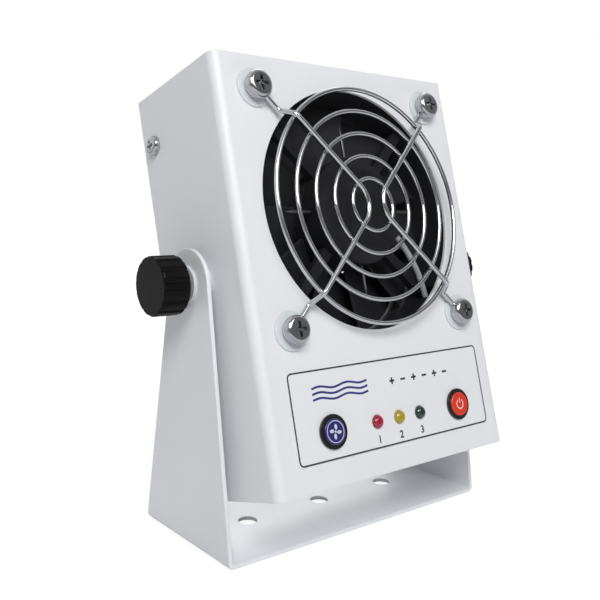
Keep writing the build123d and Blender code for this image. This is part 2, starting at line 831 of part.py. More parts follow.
with BuildPart() as control_overlay:
    with BuildSketch(facing_front(panel_shift, panel_middle, front_face)):
        Rectangle(panel_width, panel_height)
    extrude(amount=panel_film)
    with BuildSketch(facing_front(0, controls_height, front_face)):
        with Locations(*[(x, 0) for x in led_places]):
            Circle(led_radius + slip_gap)
        with Locations(*[(x, 0) for x in button_places]):
            Circle(switch_body_radius + slip_gap)
    extrude(amount=panel_film, mode=Mode.SUBTRACT)
save(control_overlay, "control_overlay")

for x, lamp_name in zip(led_places, ("led_1_red", "led_2_yellow", "led_3_green")):
    with BuildPart() as lamp:
        with BuildSketch(facing_front(x, controls_height, front_inside)):
            Circle(led_radius + led_flange)
        extrude(amount=-led_flange_height)
        with BuildSketch(facing_front(x, controls_height, front_inside)):
            Circle(led_radius)
        extrude(amount=panel_face + led_stand_out - front_inside)
        dome_edge = lamp.faces().sort_by(Axis((0, 0, 0), HOUSING.z_dir))[-1].edges()
        fillet(dome_edge, led_dome)
        with BuildSketch(facing_front(x, controls_height, board_face)):
            with GridLocations(led_leg_pitch, 1, 2, 1):
                Circle(led_leg_radius)
        extrude(amount=front_inside - led_flange_height - board_face)
    save(lamp, lamp_name)

switch_end = board_face + switch_pin_length
cap_bottom = panel_face + switch_bezel_height + cap_stand_out - cap_length
for x, switch_name in zip(button_places, ("fan", "power")):
    with BuildPart() as switch_body:
        with BuildSketch(facing_front(x, controls_height, switch_end)):
            Circle(switch_body_radius)
        extrude(amount=panel_face - switch_end)
        with BuildSketch(facing_front(x, controls_height, panel_face)):
            Circle(switch_bezel_radius)
        extrude(amount=switch_bezel_height)
        with BuildSketch(facing_front(x, controls_height, cap_bottom - button_travel - cap_floor_gap)):
            Circle(switch_body_radius - switch_wall)
        extrude(amount=cap_length + button_travel + cap_floor_gap, mode=Mode.SUBTRACT)
        with BuildSketch(facing_front(x, controls_height, switch_end)):
            with GridLocations(switch_body_radius, 1, 2, 1):
                Circle(switch_pin_radius)
        extrude(amount=-switch_pin_length)
    save(switch_body, f"{switch_name}_switch_body")

    with BuildPart() as button_cap:
        with BuildSketch(facing_front(x, controls_height, cap_bottom)):
            Circle(switch_body_radius - switch_wall - running_gap)
        extrude(amount=cap_length)
        cap_edge = button_cap.faces().sort_by(Axis((0, 0, 0), HOUSING.z_dir))[-1].edges()
        fillet(cap_edge, cap_stand_out / 2)
    save(button_cap, f"{switch_name}_button")

with BuildPart() as switch_nuts:
    with Locations(*[facing_front(x, controls_height, front_inside) for x in button_places]):
        with Locations((0, 0, -switch_nut_height)):
            add(hex_nut(switch_nut_radius, switch_body_radius + thread_gap, switch_nut_height))
save(switch_nuts, "switch_nuts")

# Control board on standoffs behind the panel

with BuildPart() as control_board:
    with BuildSketch(facing_front(panel_shift, board_middle, board_back)):
        Rectangle(board_width, board_height)
        with corners(board_hole_pitch_x, board_hole_pitch_y):
            Circle(board_screw_radius + clearance_hole_gap, mode=Mode.SUBTRACT)
    extrude(amount=board_thickness)
save(control_board, "control_board")

with BuildPart(facing_front(panel_shift, board_middle, board_face)) as board_standoffs:
    with corners(board_hole_pitch_x, board_hole_pitch_y):
        add(washer(standoff_radius, board_screw_radius + thread_gap, board_stand_off))
save(board_standoffs, "board_standoffs")

with BuildPart(facing_rear(panel_shift, board_middle, board_back)) as board_screws:
    with corners(board_hole_pitch_x, board_hole_pitch_y):
        add(pan_screw(board_head_radius, board_head_height, board_screw_radius, board_screw_length))
save(board_screws, "board_screws")

with BuildPart() as board_capacitors:
    with BuildSketch(facing_front(0, controls_height, board_back)):
        with Locations(*[(panel_shift + x, capacitor_rise) for x in capacitor_places]):
            Circle(capacitor_radius)
    extrude(amount=-capacitor_height)
save(board_capacitors, "board_capacitors")

with BuildPart() as board_headers:
    with BuildSketch(facing_front(0, 0, board_back)):
        with Locations(fan_header, power_header, module_header):
            Rectangle(header_width, header_thickness)
    extrude(amount=-header_height)
save(board_headers, "board_headers")

# High-voltage module on the rear wall

with BuildPart() as hv_module:
    module_middle = ((module_left + module_right) / 2, (module_bottom + module_top) / 2)
    with BuildSketch(facing_front(*module_middle, rear_inside)):
        Rectangle(module_width, module_height)
    extrude(amount=module_depth)
    with BuildSketch(facing_up(lead_slot_x, module_top, gland_plane)):
        Circle(gland_radius)
    extrude(amount=gland_height)
    with BuildSketch(facing_front(0, 0, rear_inside)):
        with Locations(*module_screw_places):
            Circle(cover_screw_radius + thread_gap)
    extrude(amount=cover_screw_length, mode=Mode.SUBTRACT)
save(hv_module, "hv_module")

with BuildPart() as module_screws:
    with Locations(*[facing_rear(x, y, rear_face) for x, y in module_screw_places]):
        add(pan_screw(cover_head_radius, cover_head_height, cover_screw_radius, cover_screw_length))
save(module_screws, "module_screws")

# Power inlet on the rear wall

jack_face = facing_rear(-jack_from_centre, jack_height, rear_face)
with BuildPart() as power_jack:
    with BuildSketch(jack_face):
        Circle(jack_flange_radius)
    extrude(amount=jack_flange_height)
    with BuildSketch(jack_face):
        Circle(jack_thread_radius)
    extrude(amount=-jack_length)
    with BuildSketch(jack_face.offset(jack_flange_height)):
        Circle(jack_bore_radius)
        Circle(jack_pin_radius, mode=Mode.SUBTRACT)
    extrude(amount=-jack_bore_depth, mode=Mode.SUBTRACT)
save(power_jack, "power_jack")

with BuildPart(facing_front(-jack_from_centre, jack_height, rear_inside)) as power_jack_nut:
    add(hex_nut(jack_nut_radius, jack_thread_radius + thread_gap, jack_nut_height))
save(power_jack_nut, "power_jack_nut")

# Leads held inside the housing, as points in the housing frame

lead_across = lead_slot_x - boss_end.X
lead_down = fan_rise - fan_half + lead_slot_end - boss_end.Y
hv_lead_route = [
    tuple(boss_end),
    *[(boss_end.X + x * lead_across, boss_end.Y + y * lead_down, lead_plane) for x, y in lead_bow],
    (lead_slot_x, lead_turn_height, lead_plane - lead_sag),
    (lead_slot_x, lead_turn_height, gland_plane + lead_bend),
    (lead_slot_x, module_top + lead_bend, gland_plane),
    (lead_slot_x, module_top + gland_height, gland_plane),
]
hv_lead = lead(hv_lead_route, hv_lead_radius)
save(hv_lead, "hv_lead")

power_lead_route = [
    (-jack_from_centre, jack_height, jack_end),
    (-jack_from_centre, jack_height, jack_end + lead_stub),
    (power_header[0], power_header[1], header_end - lead_stub),
    (power_header[0], power_header[1], header_end),
]
power_lead = lead(power_lead_route, lead_radius)
save(power_lead, "power_lead")

fan_lead_route = [
    (fan_header[0] - fan_lead_shift, fan_rise - fan_half, fan_back + fan_flange / 2),
    (fan_header[0] - fan_lead_shift, fan_rise - fan_half - lead_stub, fan_back + fan_flange / 2),
    (fan_header[0], fan_header[1], header_end - lead_stub),
    (fan_header[0], fan_header[1], header_end),
]
fan_lead = lead(fan_lead_route, lead_radius)
save(fan_lead, "fan_lead")

module_lead_route = [
    (module_left, module_header[1], module_front - lead_bend),
    (module_header[0], module_header[1], module_front - lead_bend),
    (module_header[0], module_header[1], header_end),
]
module_lead = lead(module_lead_route, module_lead_radius)
save(module_lead, "module_lead")
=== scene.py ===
"""Benchtop ionizing blower: finishes, printed marks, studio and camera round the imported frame.

Every length given in millimetres ends in _mm or stands beside MM, which turns it to metres. The housing
leans in its bracket, so pieces on it are placed in the housing's own frame: x to the viewer's right, y up
the housing and z out of its front, from the tilt axis.
"""

import json
import logging
from dataclasses import dataclass
from enum import Enum
from math import cos, pi, radians, sin
from typing import Callable, Iterable

import bmesh
import bpy
from mathutils import Matrix, Vector


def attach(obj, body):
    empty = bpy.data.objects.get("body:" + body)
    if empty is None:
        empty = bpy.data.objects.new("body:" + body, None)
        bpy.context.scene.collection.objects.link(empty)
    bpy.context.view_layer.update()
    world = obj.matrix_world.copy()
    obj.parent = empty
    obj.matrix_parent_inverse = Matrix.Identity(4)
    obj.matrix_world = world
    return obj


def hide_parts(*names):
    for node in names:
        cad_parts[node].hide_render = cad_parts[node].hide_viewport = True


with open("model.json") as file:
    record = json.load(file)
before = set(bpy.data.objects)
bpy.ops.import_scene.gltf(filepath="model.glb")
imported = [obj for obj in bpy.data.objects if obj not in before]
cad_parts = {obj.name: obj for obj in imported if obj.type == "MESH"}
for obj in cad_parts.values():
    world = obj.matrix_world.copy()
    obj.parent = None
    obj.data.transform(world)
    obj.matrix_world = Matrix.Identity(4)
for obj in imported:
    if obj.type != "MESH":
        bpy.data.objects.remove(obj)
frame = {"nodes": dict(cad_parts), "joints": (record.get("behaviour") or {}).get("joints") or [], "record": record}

MM = 0.001
LOG = logging.getLogger("ionizing_blower")
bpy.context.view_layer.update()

# Points of a new piece that are nearer than this are one point.
SAME_POINT_MM = 0.0001

# Nearly all values of a noise texture lie in this band.
NOISE_BAND = (0.3, 0.7)

# Sockets of the Mix node for colours, whose names its other kinds share: two inputs and the result.
MIX_FIRST = 6
MIX_SECOND = 7
MIX_RESULT = 2

WHITE = (1.0, 1.0, 1.0, 1.0)

Tree = bpy.types.NodeTree
Socket = bpy.types.NodeSocket
Model = bmesh.types.BMesh
Triple = tuple[float, float, float]


class Side(Enum):
    """The two sides of the blower, as someone facing its front sees them."""

    LEFT = "left"
    RIGHT = "right"


class End(Enum):
    """The blower's outlet and intake ends."""

    FRONT = "front"
    REAR = "rear"


# Shader nodes


def srgb(code: str) -> tuple[float, float, float, float]:
    """Turn an sRGB hex colour to the linear colour that a shader takes, by the standard's curve.

    Args:
        code: Six hex digits after a hash sign.

    Returns:
        Red, green, blue and an alpha of 1.
    """
    channels = [int(code[i : i + 2], 16) / 255 for i in (1, 3, 5)]
    linear = [c / 12.92 if c <= 0.04045 else ((c + 0.055) / 1.055) ** 2.4 for c in channels]
    return (*linear, 1.0)


def add_node(
    tree: Tree, kind: str, settings: dict | None = None, links: dict | None = None
) -> bpy.types.Node:
    """Add a node with its settings and its links.

    Args:
        tree: Node tree of a material or of the world.
        kind: Blender's type name of the node.
        settings: Values by socket name, socket number or property name.
        links: Output sockets by the name or number of the input that they feed.

    Returns:
        The new node.
    """
    node = tree.nodes.new(kind)
    for name, value in (settings or {}).items():
        if isinstance(name, int) or name in node.inputs:
            node.inputs[name].default_value = value
        else:
            setattr(node, name, value)
    for name, source in (links or {}).items():
        tree.links.new(source, node.inputs[name])
    return node


# Finishes


@dataclass(frozen=True)
class Pattern:
    """An uneven pattern of one size, and what it moves in a surface.

    depth_mm is its relief from the lowest to the highest point, shade the colour that it leads to, and
    swing how far it takes the roughness down and up.
    """

    size_mm: float
    detail: float = 3.0
    stretch: Triple = (1.0, 1.0, 1.0)
    depth_mm: float = 0.0
    shade: str | None = None
    swing: tuple[float, float] | None = None

    def values(self, tree: Tree, place: Socket) -> Socket:
        """Add a noise whose patches are about size_mm across.

        Args:
            tree: The material's nodes.
            place: The piece's own coordinates, in metres.

        Returns:
            The pattern's values.
        """
        spread = add_node(tree, "ShaderNodeMapping", {"Scale": self.stretch}, {"Vector": place})
        settings = {"Scale": 1 / (self.size_mm * MM), "Detail": self.detail}
        noise = add_node(tree, "ShaderNodeTexNoise", settings, {"Vector": spread.outputs[0]})
        return noise.outputs["Fac"]


@dataclass(frozen=True)
class Tracks(Pattern):
    """Squared blocks with narrow gaps, as copper has on a circuit board."""

    disorder: float = 0.6
    gap_start: float = 0.35
    gap_end: float = 0.4

    def values(self, tree: Tree, place: Socket) -> Socket:
        """Add cells about size_mm across, with a sharp step at their gaps.

        Args:
            tree: The material's nodes.
            place: The piece's own coordinates, in metres.

        Returns:
            The pattern's values.
        """
        scale = 1 / (self.size_mm * MM)
        settings = {"Scale": scale, "distance": "MANHATTAN", "Randomness": self.disorder}
        cells = add_node(tree, "ShaderNodeTexVoronoi", settings, {"Vector": place})
        limits = {"From Min": self.gap_start, "From Max": self.gap_end}
        steps = add_node(tree, "ShaderNodeMapRange", limits, {"Value": cells.outputs["Distance"]})
        return steps.outputs["Result"]


@dataclass(frozen=True)
class Finish:
    """A surface finish, which becomes one material."""

    name: str
    colour: str
    roughness: float

    def skin(self) -> dict[str, float]:
        """The shader's settings beside colour and roughness."""
        return {}

    def patterns(self) -> list[Pattern]:
        """The patterns that lie on the surface."""
        return []

    def material(self) -> bpy.types.Material:
        """Find the finish's material, or make it on the first call.

        Returns:
            The material.
        """
        made = bpy.data.materials.get(self.name)
        if made:
            return made
        made = bpy.data.materials.new(self.name)
        made.use_nodes = True
        made.diffuse_color = srgb(self.colour)
        tree = made.node_tree
        tree.nodes.clear()
        settings = {"Base Color": srgb(self.colour), "Roughness": self.roughness, **self.skin()}
        shader = add_node(tree, "ShaderNodeBsdfPrincipled", settings)
        add_node(tree, "ShaderNodeOutputMaterial", links={"Surface": shader.outputs[0]})
        place = add_node(tree, "ShaderNodeTexCoord").outputs["Object"]
        for pattern in self.patterns():
            self.lay(pattern, tree, shader, place)
        return made

    def lay(self, pattern: Pattern, tree: Tree, shader: bpy.types.Node, place: Socket) -> None:
        """Let a pattern move the shader's relief, colour and roughness.

        Args:
            pattern: The pattern.
            tree: The material's nodes.
            shader: The material's shader.
            place: The piece's own coordinates, in metres.
        """
        values = pattern.values(tree, place)
        if pattern.depth_mm:
            settings = {"Strength": 1.0, "Distance": pattern.depth_mm * MM}
            bump = add_node(tree, "ShaderNodeBump", settings, {"Height": values})
            tree.links.new(bump.outputs["Normal"], shader.inputs["Normal"])
        if pattern.shade:
            settings = {
                "data_type": "RGBA",
                MIX_FIRST: srgb(self.colour),
                MIX_SECOND: srgb(pattern.shade),
            }
            mix = add_node(tree, "ShaderNodeMix", settings, {0: values})
            tree.links.new(mix.outputs[MIX_RESULT], shader.inputs["Base Color"])
        if pattern.swing:
            settings = {
                "From Min": NOISE_BAND[0],
                "From Max": NOISE_BAND[1],
                "To Min": self.roughness + pattern.swing[0],
                "To Max": self.roughness + pattern.swing[1],
            }
            spread = add_node(tree, "ShaderNodeMapRange", settings, {"Value": values})
            tree.links.new(spread.outputs["Result"], shader.inputs["Roughness"])


@dataclass(frozen=True)
class PowderCoat(Finish):
    """Polyester powder baked on steel: an even satin skin with a faint orange peel."""

    shade: str = "#FFFFFF"
    coat: float = 0.15
    coat_roughness: float = 0.36
    peel_mm: float = 1.1
    peel_detail: float = 1.5
    peel_depth_mm: float = 0.012
    patch_mm: float = 45.0
    swing: tuple[float, float] = (-0.04, 0.05)

    def skin(self) -> dict[str, float]:
        """The flowed top of the powder."""
        return {"Coat Weight": self.coat, "Coat Roughness": self.coat_roughness}

    def patterns(self) -> list[Pattern]:
        """Orange peel, slow changes of gloss and a barely seen change of shade."""
        peel = Pattern(self.peel_mm, self.peel_detail, depth_mm=self.peel_depth_mm)
        return [peel, Pattern(self.patch_mm, shade=self.shade, swing=self.swing)]


@dataclass(frozen=True)
class MouldedPlastic(Finish):
    """Plastic from a spark-eroded mould: a fine even grain that spreads the highlights."""

    worn: str = "#2A2A2C"
    specular: float = 0.5
    # The grain of such a mould is about 0.1 mm across, too fine to show, so it is drawn coarser.
    grain_mm: float = 0.22
    grain_detail: float = 2.0
    grain_depth_mm: float = 0.010
    handled_mm: float = 9.0
    swing: tuple[float, float] = (-0.06, 0.08)

    def skin(self) -> dict[str, float]:
        """How strongly the skin mirrors."""
        return {"Specular IOR Level": self.specular}

    def patterns(self) -> list[Pattern]:
        """Mould grain and slightly handled patches."""
        grain = Pattern(self.grain_mm, self.grain_detail, depth_mm=self.grain_depth_mm)
        return [grain, Pattern(self.handled_mm, shade=self.worn, swing=self.swing)]


@dataclass(frozen=True)
class PolishedPlastic(Finish):
    """Plastic from a polished mould: a clear highlight over a deep colour."""

    deep: str = "#000000"
    coat: float = 0.6
    coat_roughness: float = 0.08
    cloud_mm: float = 3.0
    wave_mm: float = 2.2
    wave_detail: float = 1.0
    wave_depth_mm: float = 0.006

    def skin(self) -> dict[str, float]:
        """The glossy top of the moulding."""
        return {"Coat Weight": self.coat, "Coat Roughness": self.coat_roughness}

    def patterns(self) -> list[Pattern]:
        """A soft change of depth and the faint waves of a moulding."""
        waves = Pattern(self.wave_mm, self.wave_detail, depth_mm=self.wave_depth_mm)
        return [Pattern(self.cloud_mm, shade=self.deep), waves]


@dataclass(frozen=True)
class LampLens(Finish):
    """Tinted epoxy cast round a lamp: clear at the skin, deep in colour below it."""

    core: str = "#000000"
    clearness: float = 0.22
    epoxy_ior: float = 1.5
    coat: float = 0.7
    cloud_mm: float = 1.8

    def skin(self) -> dict[str, float]:
        """A little light through a glassy skin."""
        return {"Transmission Weight": self.clearness, "IOR": self.epoxy_ior, "Coat Weight": self.coat}

    def patterns(self) -> list[Pattern]:
        """The darker core."""
        return [Pattern(self.cloud_mm, shade=self.core)]


@dataclass(frozen=True)
class BrightPlate(Finish):
    """Nickel and chromium on steel: mirror bright, with rubbing marks finer than a hair."""

    patch_mm: float = 2.4
    patch_detail: float = 4.0
    brighter_share: float = 0.4
    duller_share: float = 0.7
    # The real marks are too fine to show, so they are drawn coarser.
    rub_mm: float = 0.35
    rub_detail: float = 2.0
    rub_depth_mm: float = 0.0015

    def skin(self) -> dict[str, float]:
        """Bare metal."""
        return {"Metallic": 1.0}

    def patterns(self) -> list[Pattern]:
        """Patches where the mirror is a little duller, and rubbing marks."""
        swing = (-self.brighter_share * self.roughness, self.duller_share * self.roughness)
        marks = Pattern(self.rub_mm, self.rub_detail, depth_mm=self.rub_depth_mm)
        return [Pattern(self.patch_mm, self.patch_detail, swing=swing), marks]


@dataclass(frozen=True)
class TurnedMetal(Finish):
    """Metal cut on a lathe or drawn, then plated thinly: fine lines and a soft sheen."""

    dull: str = "#8A8A8C"
    # Tool lines are about 0.1 mm apart, too fine to show on most pieces, so they are drawn coarser.
    line_mm: float = 0.25
    line_detail: float = 2.0
    line_stretch: Triple = (6.0, 1.0, 1.0)
    line_depth_mm: float = 0.004
    patch_mm: float = 3.0
    swing: tuple[float, float] = (-0.08, 0.12)

    def skin(self) -> dict[str, float]:
        """Bare metal."""
        return {"Metallic": 1.0}

    def patterns(self) -> list[Pattern]:
        """Tool lines round the piece and duller patches."""
        lines = Pattern(
            self.line_mm,
            self.line_detail,
            stretch=self.line_stretch,
            depth_mm=self.line_depth_mm,
            swing=self.swing,
        )
        return [lines, Pattern(self.patch_mm, shade=self.dull)]


@dataclass(frozen=True)
class PrintedFilm(Finish):
    """Printed polyester film: flatter and finer than the paint round it."""

    # The velvet of such a film is under 0.1 mm across, too fine to show, so it is drawn coarser.
    velvet_mm: float = 0.3
    velvet_detail: float = 1.0
    velvet_depth_mm: float = 0.003
    patch_mm: float = 25.0
    swing: tuple[float, float] = (-0.03, 0.05)

    def patterns(self) -> list[Pattern]:
        """The fine velvet texture of a panel film and slow changes of gloss."""
        velvet = Pattern(self.velvet_mm, self.velvet_detail, depth_mm=self.velvet_depth_mm)
        return [velvet, Pattern(self.patch_mm, swing=self.swing)]


@dataclass(frozen=True)
class ScreenInk(Finish):
    """Ink pressed through a screen: matt and dense, with a slightly uneven gloss."""

    # A screen's threads are about 0.15 mm apart, too fine to show, so the weave is drawn coarser.
    weave_mm: float = 0.4
    swing: tuple[float, float] = (0.0, 0.15)

    def patterns(self) -> list[Pattern]:
        """The weave of the screen, as a change of gloss."""
        return [Pattern(self.weave_mm, swing=self.swing)]


@dataclass(frozen=True)
class BoardLaminate(Finish):
    """Glass-fibre laminate under solder mask: green with darker tracks below the skin."""

    track: str = "#0E4A25"
    cell_mm: float = 2.6
    track_depth_mm: float = 0.03

    def patterns(self) -> list[Pattern]:
        """Blocks of copper that show through the mask."""
        return [Tracks(self.cell_mm, depth_mm=self.track_depth_mm, shade=self.track)]


# Powder coat: a cool near-white with soft broad highlights
WHITE_PAINT = PowderCoat("powder_coated_steel", "#E2E4E8", 0.40, shade="#E7E8EB")
# Glass-filled nylon: nearly black, so dull that the light catches little but the flutes
KNOB_PLASTIC = MouldedPlastic("knob_glass_filled_nylon", "#09090A", 0.38, worn="#0E0E0F", specular=0.12)
# Moulded polyester: charcoal, which parts the blades from the dark behind them
FAN_PLASTIC = MouldedPlastic(
    "fan_moulded_polyester", "#262629", 0.55, worn="#2D2D30", grain_mm=0.3, specular=0.12
)
# Moulded ABS: charcoal and even, so that the arms read as one moulding in front of the blades
EMITTER_PLASTIC = MouldedPlastic(
    "emitter_moulded_abs", "#242427", 0.52, worn="#2A2A2D", grain_mm=0.25, specular=0.1
)
# Polished ABS: black, navy and vermilion, each deep in colour under a sharp highlight
SWITCH_PLASTIC = PolishedPlastic("switch_moulded_abs", "#141416", 0.25, deep="#0B0B0C")
BLUE_PLASTIC = PolishedPlastic("button_navy_abs", "#27246B", 0.28, deep="#1C1A55")
RED_PLASTIC = PolishedPlastic("button_vermilion_abs", "#E03C1E", 0.28, deep="#CE2A16")
# Natural nylon: milky and smooth, a little darker than the paint
NYLON = MouldedPlastic("washer_natural_nylon", "#D3D8DC", 0.46, worn="#DDE1E4", grain_depth_mm=0.004)
# Cast epoxy: glassy domes that darken towards the core
RED_LENS = LampLens("lamp_crimson_epoxy", "#BE1238", 0.14, core="#8E0A2C")
YELLOW_LENS = LampLens("lamp_mustard_epoxy", "#C7B21C", 0.14, core="#A8900E")
GREEN_LENS = LampLens("lamp_bottle_green_epoxy", "#173F30", 0.14, core="#0D2A20")
# Chromium plate: narrow mirror streaks on wire, hard light and dark on screw heads
CHROME_WIRE = BrightPlate("guard_chromed_wire", "#C6C8CB", 0.10)
CHROME_SCREW = BrightPlate("screw_chromed_steel", "#B4B5B9", 0.11)
# Zinc plate, brass and steels: soft sheens from cool grey to warm yellow, told apart by their lines
ZINC = TurnedMetal("fastener_zinc_plate", "#B9BABC", 0.34)
BRASS = TurnedMetal("insert_turned_brass", "#C7A560", 0.30, dull="#A98A49")
NEEDLE_STEEL = TurnedMetal("needle_ground_steel", "#77787B", 0.38, dull="#5A5A5D", line_mm=0.12)
LAMINATIONS = TurnedMetal("stator_electrical_steel", "#8C8782", 0.45, dull="#6F6A66", line_mm=0.5)
# Bonded ferrite: brown-black and matt
FERRITE = MouldedPlastic("magnet_bonded_ferrite", "#26221F", 0.62, worn="#302B28")
# Cast epoxy round the high-voltage supply: black and glossy, as poured
POTTING = PolishedPlastic("module_cast_epoxy", "#17181A", 0.22, deep="#101112")
# Board laminate: green with darker squared blocks
BOARD = BoardLaminate("board_green_laminate", "#17693A", 0.36)
# Polyester film: as pale as the paint, but flat
FILM = PrintedFilm("panel_polyester_film", "#E5E6EA", 0.36)
# Silicone and vinyl sleeves: smooth, one light grey and one nearly black
GREY_SLEEVE = MouldedPlastic("lead_grey_silicone", "#9FA3A6", 0.50, worn="#AEB1B4", grain_depth_mm=0.003)
DARK_SLEEVE = MouldedPlastic("lead_dark_vinyl", "#1A1A1D", 0.44, worn="#242428", grain_depth_mm=0.003)
# Screen inks: dense and matt, so that the marks keep their tone from every side
BORDER_INK = ScreenInk("ink_border_grey", "#2A2A30", 0.55)
BLACK_INK = ScreenInk("ink_black", "#1C1B22", 0.55)
BLUE_INK = ScreenInk("ink_blue", "#2A2A78", 0.55)
CAP_INK = ScreenInk("ink_cap_pale", "#C9CBEA", 0.50)
RED_CAP_INK = ScreenInk("ink_cap_cream", "#FFD9C8", 0.50)


# Places


@dataclass(frozen=True)
class HousingFrame:
    """The leaning housing's own frame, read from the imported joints."""

    pivot: Vector
    outward: Vector

    @classmethod
    def from_joints(cls, joints: list[dict]) -> "HousingFrame":
        """Take the tilt axis's place and the fan axis's direction.

        Args:
            joints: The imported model's joints.

        Returns:
            The frame of the housing.
        """
        by_name = {joint["name"]: joint for joint in joints}
        pivot = Vector(by_name["housing_tilt"]["pos_m"])
        return cls(pivot, Vector(by_name["fan_spin"]["axis"]).normalized())

    def matrix(self, x_mm: float = 0.0, y_mm: float = 0.0, z_mm: float = 0.0) -> Matrix:
        """Find the matrix that takes a piece modelled at the origin to a point of the housing.

        Args:
            x_mm: Distance to the right of the tilt axis's middle.
            y_mm: Distance up the housing.
            z_mm: Distance out of the housing's front.

        Returns:
            The matrix.
        """
        right = Vector((1, 0, 0))
        up = self.outward.cross(right)
        turn = Matrix((right, up, self.outward)).transposed().to_4x4()
        shift = Matrix.Translation(Vector((x_mm, y_mm, z_mm)) * MM)
        return Matrix.Translation(self.pivot) @ turn @ shift

    def span(self, node: str) -> tuple[Vector, Vector]:
        """Measure a CAD node in the housing's frame.

        Args:
            node: Name of the CAD node.

        Returns:
            Its lowest and highest corners, in millimetres.
        """
        back = self.matrix().inverted()
        places = [back @ vertex.co / MM for vertex in frame["nodes"][node].data.vertices]
        low = Vector([min(place[i] for place in places) for i in range(3)])
        high = Vector([max(place[i] for place in places) for i in range(3)])
        return low, high


HOUSING = HousingFrame.from_joints(frame["joints"])
BODIES = frame["record"]["behaviour"]["bodies"]
BODY_OF_NODE = {node: body for body, nodes in BODIES.items() for node in nodes}


# Shared making of pieces


def new_piece(
    name: str, mesh: bpy.types.Mesh, finish: Finish, body: str
) -> bpy.types.Object:
    """Link a finished mesh as a piece that rides on a body, and report it.

    Args:
        name: Name of the piece.
        mesh: Its mesh, in place in the row's frame.
        finish: Its finish.
        body: The CAD body that it rides on.

    Returns:
        The piece's object.
    """
    mesh.materials.clear()
    mesh.materials.append(finish.material())
    piece = bpy.data.objects.new(name, mesh)
    bpy.context.scene.collection.objects.link(piece)
    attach(piece, body)
    LOG.info("piece %s on %s", name, body)
    return piece


def shape(name: str, build: Callable[[Model], None], place: Matrix) -> bpy.types.Mesh:
    """Model a mesh and put it in place.

    Args:
        name: Name of the mesh.
        build: Function that models it at the origin, in metres.
        place: Matrix to its place in the row's frame.

    Returns:
        The mesh, with its normals outward.
    """
    model = bmesh.new()
    build(model)
    bmesh.ops.remove_doubles(model, verts=model.verts, dist=SAME_POINT_MM * MM)
    bmesh.ops.recalc_face_normals(model, faces=model.faces)
    model.transform(place)
    mesh = bpy.data.meshes.new(name)
    model.to_mesh(mesh)
    model.free()
    return mesh


def joined(name: str, meshes: list[bpy.types.Mesh], place: Matrix) -> bpy.types.Mesh:
    """Join meshes into one and put it in place.

    Args:
        name: Name of the mesh.
        meshes: The meshes, which are used up.
        place: Matrix to the mesh's place in the row's frame.

    Returns:
        The mesh, with its normals outward.
    """

    def gather(model: Model) -> None:
        """Take in each mesh.

        Args:
            model: The empty model.
        """
        for mesh in meshes:
            model.from_mesh(mesh)
            bpy.data.meshes.remove(mesh)

    return shape(name, gather, place)


def thicken(model: Model, thickness: float) -> None:
    """Give flat faces at height 0 a thickness upwards, closed all round.

    Args:
        model: The flat faces.
        thickness: The thickness in metres.
    """
    grown = bmesh.ops.extrude_face_region(model, geom=model.faces[:])
    raised = [item for item in grown["geom"] if isinstance(item, bmesh.types.BMVert)]
    bmesh.ops.translate(model, verts=raised, vec=(0, 0, thickness))


def opened(model: Model, line: float) -> None:
    """Leave only a line of even width along the edge of each flat face.

    Args:
        model: The flat faces.
        line: Width of the line, in metres.
    """
    inner = model.faces[:]
    bmesh.ops.inset_individual(model, faces=inner, thickness=line, use_even_offset=True)
    bmesh.ops.delete(model, geom=inner, context="FACES")


@dataclass(frozen=True)
class Print:
    """How ink is laid down: its thickness and how finely its lines and characters are drawn."""

    ink_mm: float = 0.03
    line_roundness: int = 3
    line_steps: int = 8
    # A digit is this share of its type's size high.
    digit_share: float = 0.7

    def mesh_of(self, curve: bpy.types.Curve) -> bpy.types.Mesh:
        """Turn a curve to a mesh.

        Args:
            curve: The curve, which is used up.

        Returns:
            The mesh.
        """
        holder = bpy.data.objects.new(curve.name, curve)
        mesh = bpy.data.meshes.new_from_object(holder)
        bpy.data.objects.remove(holder)
        bpy.data.curves.remove(curve)
        return mesh

    def line(self, name: str, points: Iterable[tuple[float, float]], width_mm: float) -> bpy.types.Mesh:
        """Draw a line of even width along a smooth route on the plane.

        Args:
            name: Name of the mesh.
            points: The route, in millimetres.
            width_mm: Width of the line.

        Returns:
            The line's mesh, flat on the plane.
        """
        curve = bpy.data.curves.new(name, "CURVE")
        curve.dimensions = "3D"
        curve.bevel_depth = width_mm * MM / 2
        curve.bevel_resolution = self.line_roundness
        curve.resolution_u = self.line_steps
        curve.use_fill_caps = True
        route = list(points)
        spline = curve.splines.new("NURBS")
        spline.points.add(len(route) - 1)
        for point, (x, y) in zip(spline.points, route):
            point.co = (x * MM, y * MM, 0, 1)
        spline.order_u = 3
        spline.use_endpoint_u = True
        mesh = self.mesh_of(curve)
        mesh.transform(Matrix.Diagonal((1, 1, 2 * self.ink_mm / width_mm, 1)))
        return mesh

    def digit(self, name: str, text: str, height_mm: float, weight_mm: float) -> bpy.types.Mesh:
        """Draw plain digits, centred on the plane.

        Args:
            name: Name of the mesh.
            text: The digits.
            height_mm: Their height.
            weight_mm: How far the outline is pushed out, for bolder type.

        Returns:
            The digits' mesh.
        """
        curve = bpy.data.curves.new(name, "FONT")
        curve.body = text
        curve.size = height_mm * MM / self.digit_share
        curve.offset = weight_mm * MM
        curve.align_x = "CENTER"
        curve.align_y = "CENTER"
        curve.extrude = self.ink_mm * MM / 2
        return self.mesh_of(curve)


PRINT = Print()


# Sub-assemblies


